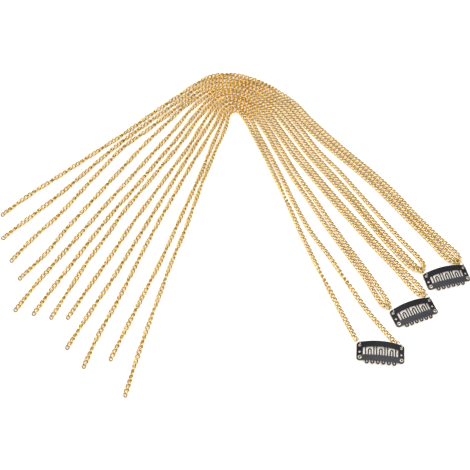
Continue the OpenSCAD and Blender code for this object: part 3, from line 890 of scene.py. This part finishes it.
def eyelet_mesh(name):
    """A rolled eyelet: hollow shank, a rounded rim above and below."""
    top = PLATE_THICKNESS / 2 + STRIP_THICKNESS + 2 * PLAY
    bottom = -PLATE_THICKNESS / 2 - PLAY
    profile = [(EYELET_BORE_D / 2, bottom + EYELET_FLARE), (EYELET_BORE_D / 2, (top + bottom) / 2),
               (EYELET_BORE_D / 2, top - EYELET_FLARE)]
    profile += [(RIM_MIDDLE + RIM_RADIUS * math.cos(a), top + RIM_RADIUS * math.sin(a))
                for a in np.radians(np.linspace(170, 0, 9))]
    shank = EYELET_SHANK_D / 2
    profile += [(shank + EYELET_EASE, top), (shank, top - EYELET_EASE),
                (shank, bottom + EYELET_EASE), (shank + EYELET_EASE, bottom)]
    profile += [(RIM_MIDDLE + RIM_RADIUS * math.cos(a), bottom + RIM_RADIUS * math.sin(a))
                for a in np.radians(np.linspace(0, -170, 9))]
    sides = EYELET_SIDES
    verts = [(r * math.cos(t), r * math.sin(t), z) for t in np.arange(sides) * 2 * math.pi / sides
             for r, z in profile]
    n = len(profile)
    faces = [(s * n + i, s * n + (i + 1) % n, (s + 1) % sides * n + (i + 1) % n, (s + 1) % sides * n + i)
             for s in range(sides) for i in range(n)]
    mesh = bpy.data.meshes.new(name)
    mesh.from_pydata(verts, [], faces)
    work = bmesh.new()
    work.from_mesh(mesh)
    bmesh.ops.recalc_face_normals(work, faces=work.faces)
    work.to_mesh(mesh)
    work.free()
    mark_points(mesh, "bore", [float(r < BORE_REACH) for _ in range(sides) for r, _ in profile])
    return mesh


def edge_wear(mesh, loops):
    """Marks how near each point is to the sheet's outline, for the lacquer that thins there."""
    ends = np.concatenate([np.array(loop) for loop in loops])
    points = np.array([v.co[:2] for v in mesh.vertices])
    near = np.array([np.linalg.norm(ends - p, axis=1).min() for p in points])
    mark_points(mesh, "edge", np.clip(1 - near / WEAR_REACH, 0, 1))


def clip_matrix(c):
    """The lying comb's place: on its lowest points, leaning back and turned."""
    x, y, yaw = CLIP_PLACES[c]
    eyelet_angle = math.asin(EYELET_U / ARCH_RADIUS)
    eyelet_rise = PLATE_RISE - ARCH_RADIUS * (1 - math.cos(eyelet_angle))
    rim_low = (eyelet_rise - (PLATE_THICKNESS / 2 + PLAY) * math.cos(eyelet_angle)
               - RIM_MIDDLE * (math.sin(eyelet_angle) + math.sin(CLIP_TILT)) - RIM_RADIUS)
    ear_low = -RIVET_UP * math.sin(CLIP_TILT) - PLATE_THICKNESS / 2
    lift = PLAY - min(rim_low, ear_low)
    return (Matrix.Translation((x * MM - origin[0], y * MM - origin[1], lift))
            @ Matrix.Rotation(math.radians(yaw), 4, "Z") @ Matrix.Rotation(CLIP_TILT, 4, "X"))


def shade_sharp(mesh, degrees):
    mesh.shade_smooth()
    mesh.set_sharp_from_angle(angle=math.radians(degrees))


def make_combs(plate_finish, strip_finish, eyelet_finish):
    plate_loops = [comb_outline(), *comb_holes()]
    for c, clip in enumerate(CLIP_NAMES):
        place = clip_matrix(c)
        plate = stamped_sheet(f"{clip}_comb", plate_loops, PLATE_THICKNESS, EDGE_ROUNDING)
        edge_wear(plate, plate_loops)
        bend_over_arch(plate, 0)
        strip = stamped_sheet(f"{clip}_spring", strip_loops(), STRIP_THICKNESS, STRIP_ROUNDING)
        bend_over_arch(strip, PLATE_THICKNESS / 2 + PLAY + STRIP_THICKNESS / 2)
        for mesh, finish, slot, node in ((plate, plate_finish, "comb_black", f"{clip}_plate"),
                                         (strip, strip_finish, "strip_black", f"{clip}_strip")):
            shade_sharp(mesh, 30)
            mesh.materials.clear()
            mesh.materials.append(finish)
            place_mesh(mesh, place)
            finish_piece(link_object(mesh.name, mesh), slot, node)
        for s, side in enumerate(SIDE_NAMES):
            mesh = eyelet_mesh(f"{clip}_eyelet_{side}_rolled")
            u = (-EYELET_U, EYELET_U)[s]
            tilt = math.asin(u / ARCH_RADIUS)
            seat = (Matrix.Translation((0, 0, PLATE_RISE - ARCH_RADIUS)) @ Matrix.Rotation(tilt, 4, "Y")
                    @ Matrix.Translation((0, 0, ARCH_RADIUS)))
            shade_sharp(mesh, 50)
            mesh.materials.append(eyelet_finish)
            place_mesh(mesh, place @ seat)
            finish_piece(link_object(mesh.name, mesh), "eyelet_brass", f"{clip}_eyelet_{side}")


def make_floor():
    mesh = bpy.data.meshes.new("floor")
    corners = [(x * FLOOR_REACH, y * FLOOR_REACH, FLOOR_LEVEL)
               for x, y in ((-1, -1), (1, -1), (1, 1), (-1, 1))]
    mesh.from_pydata(corners, [], [(0, 1, 2, 3)])
    mesh.materials.append(paper_white())
    link_object("floor", mesh)


make_camera()
make_studio()
make_floor()
chain_tree = curb_chain_tree()
gold = gold_plating()
for strand in range(1, STRAND_COUNT + 1):
    make_chain(strand, chain_tree, gold)
make_rings(ring_plating("ring_silver", tint(0.86, 0.84, 0.79), tint(0.74, 0.70, 0.62)),
           ring_plating("ring_antique", tint(0.50, 0.37, 0.17), tint(0.34, 0.24, 0.10)))
make_combs(comb_lacquer(), strip_lacquer(), eyelet_brass())
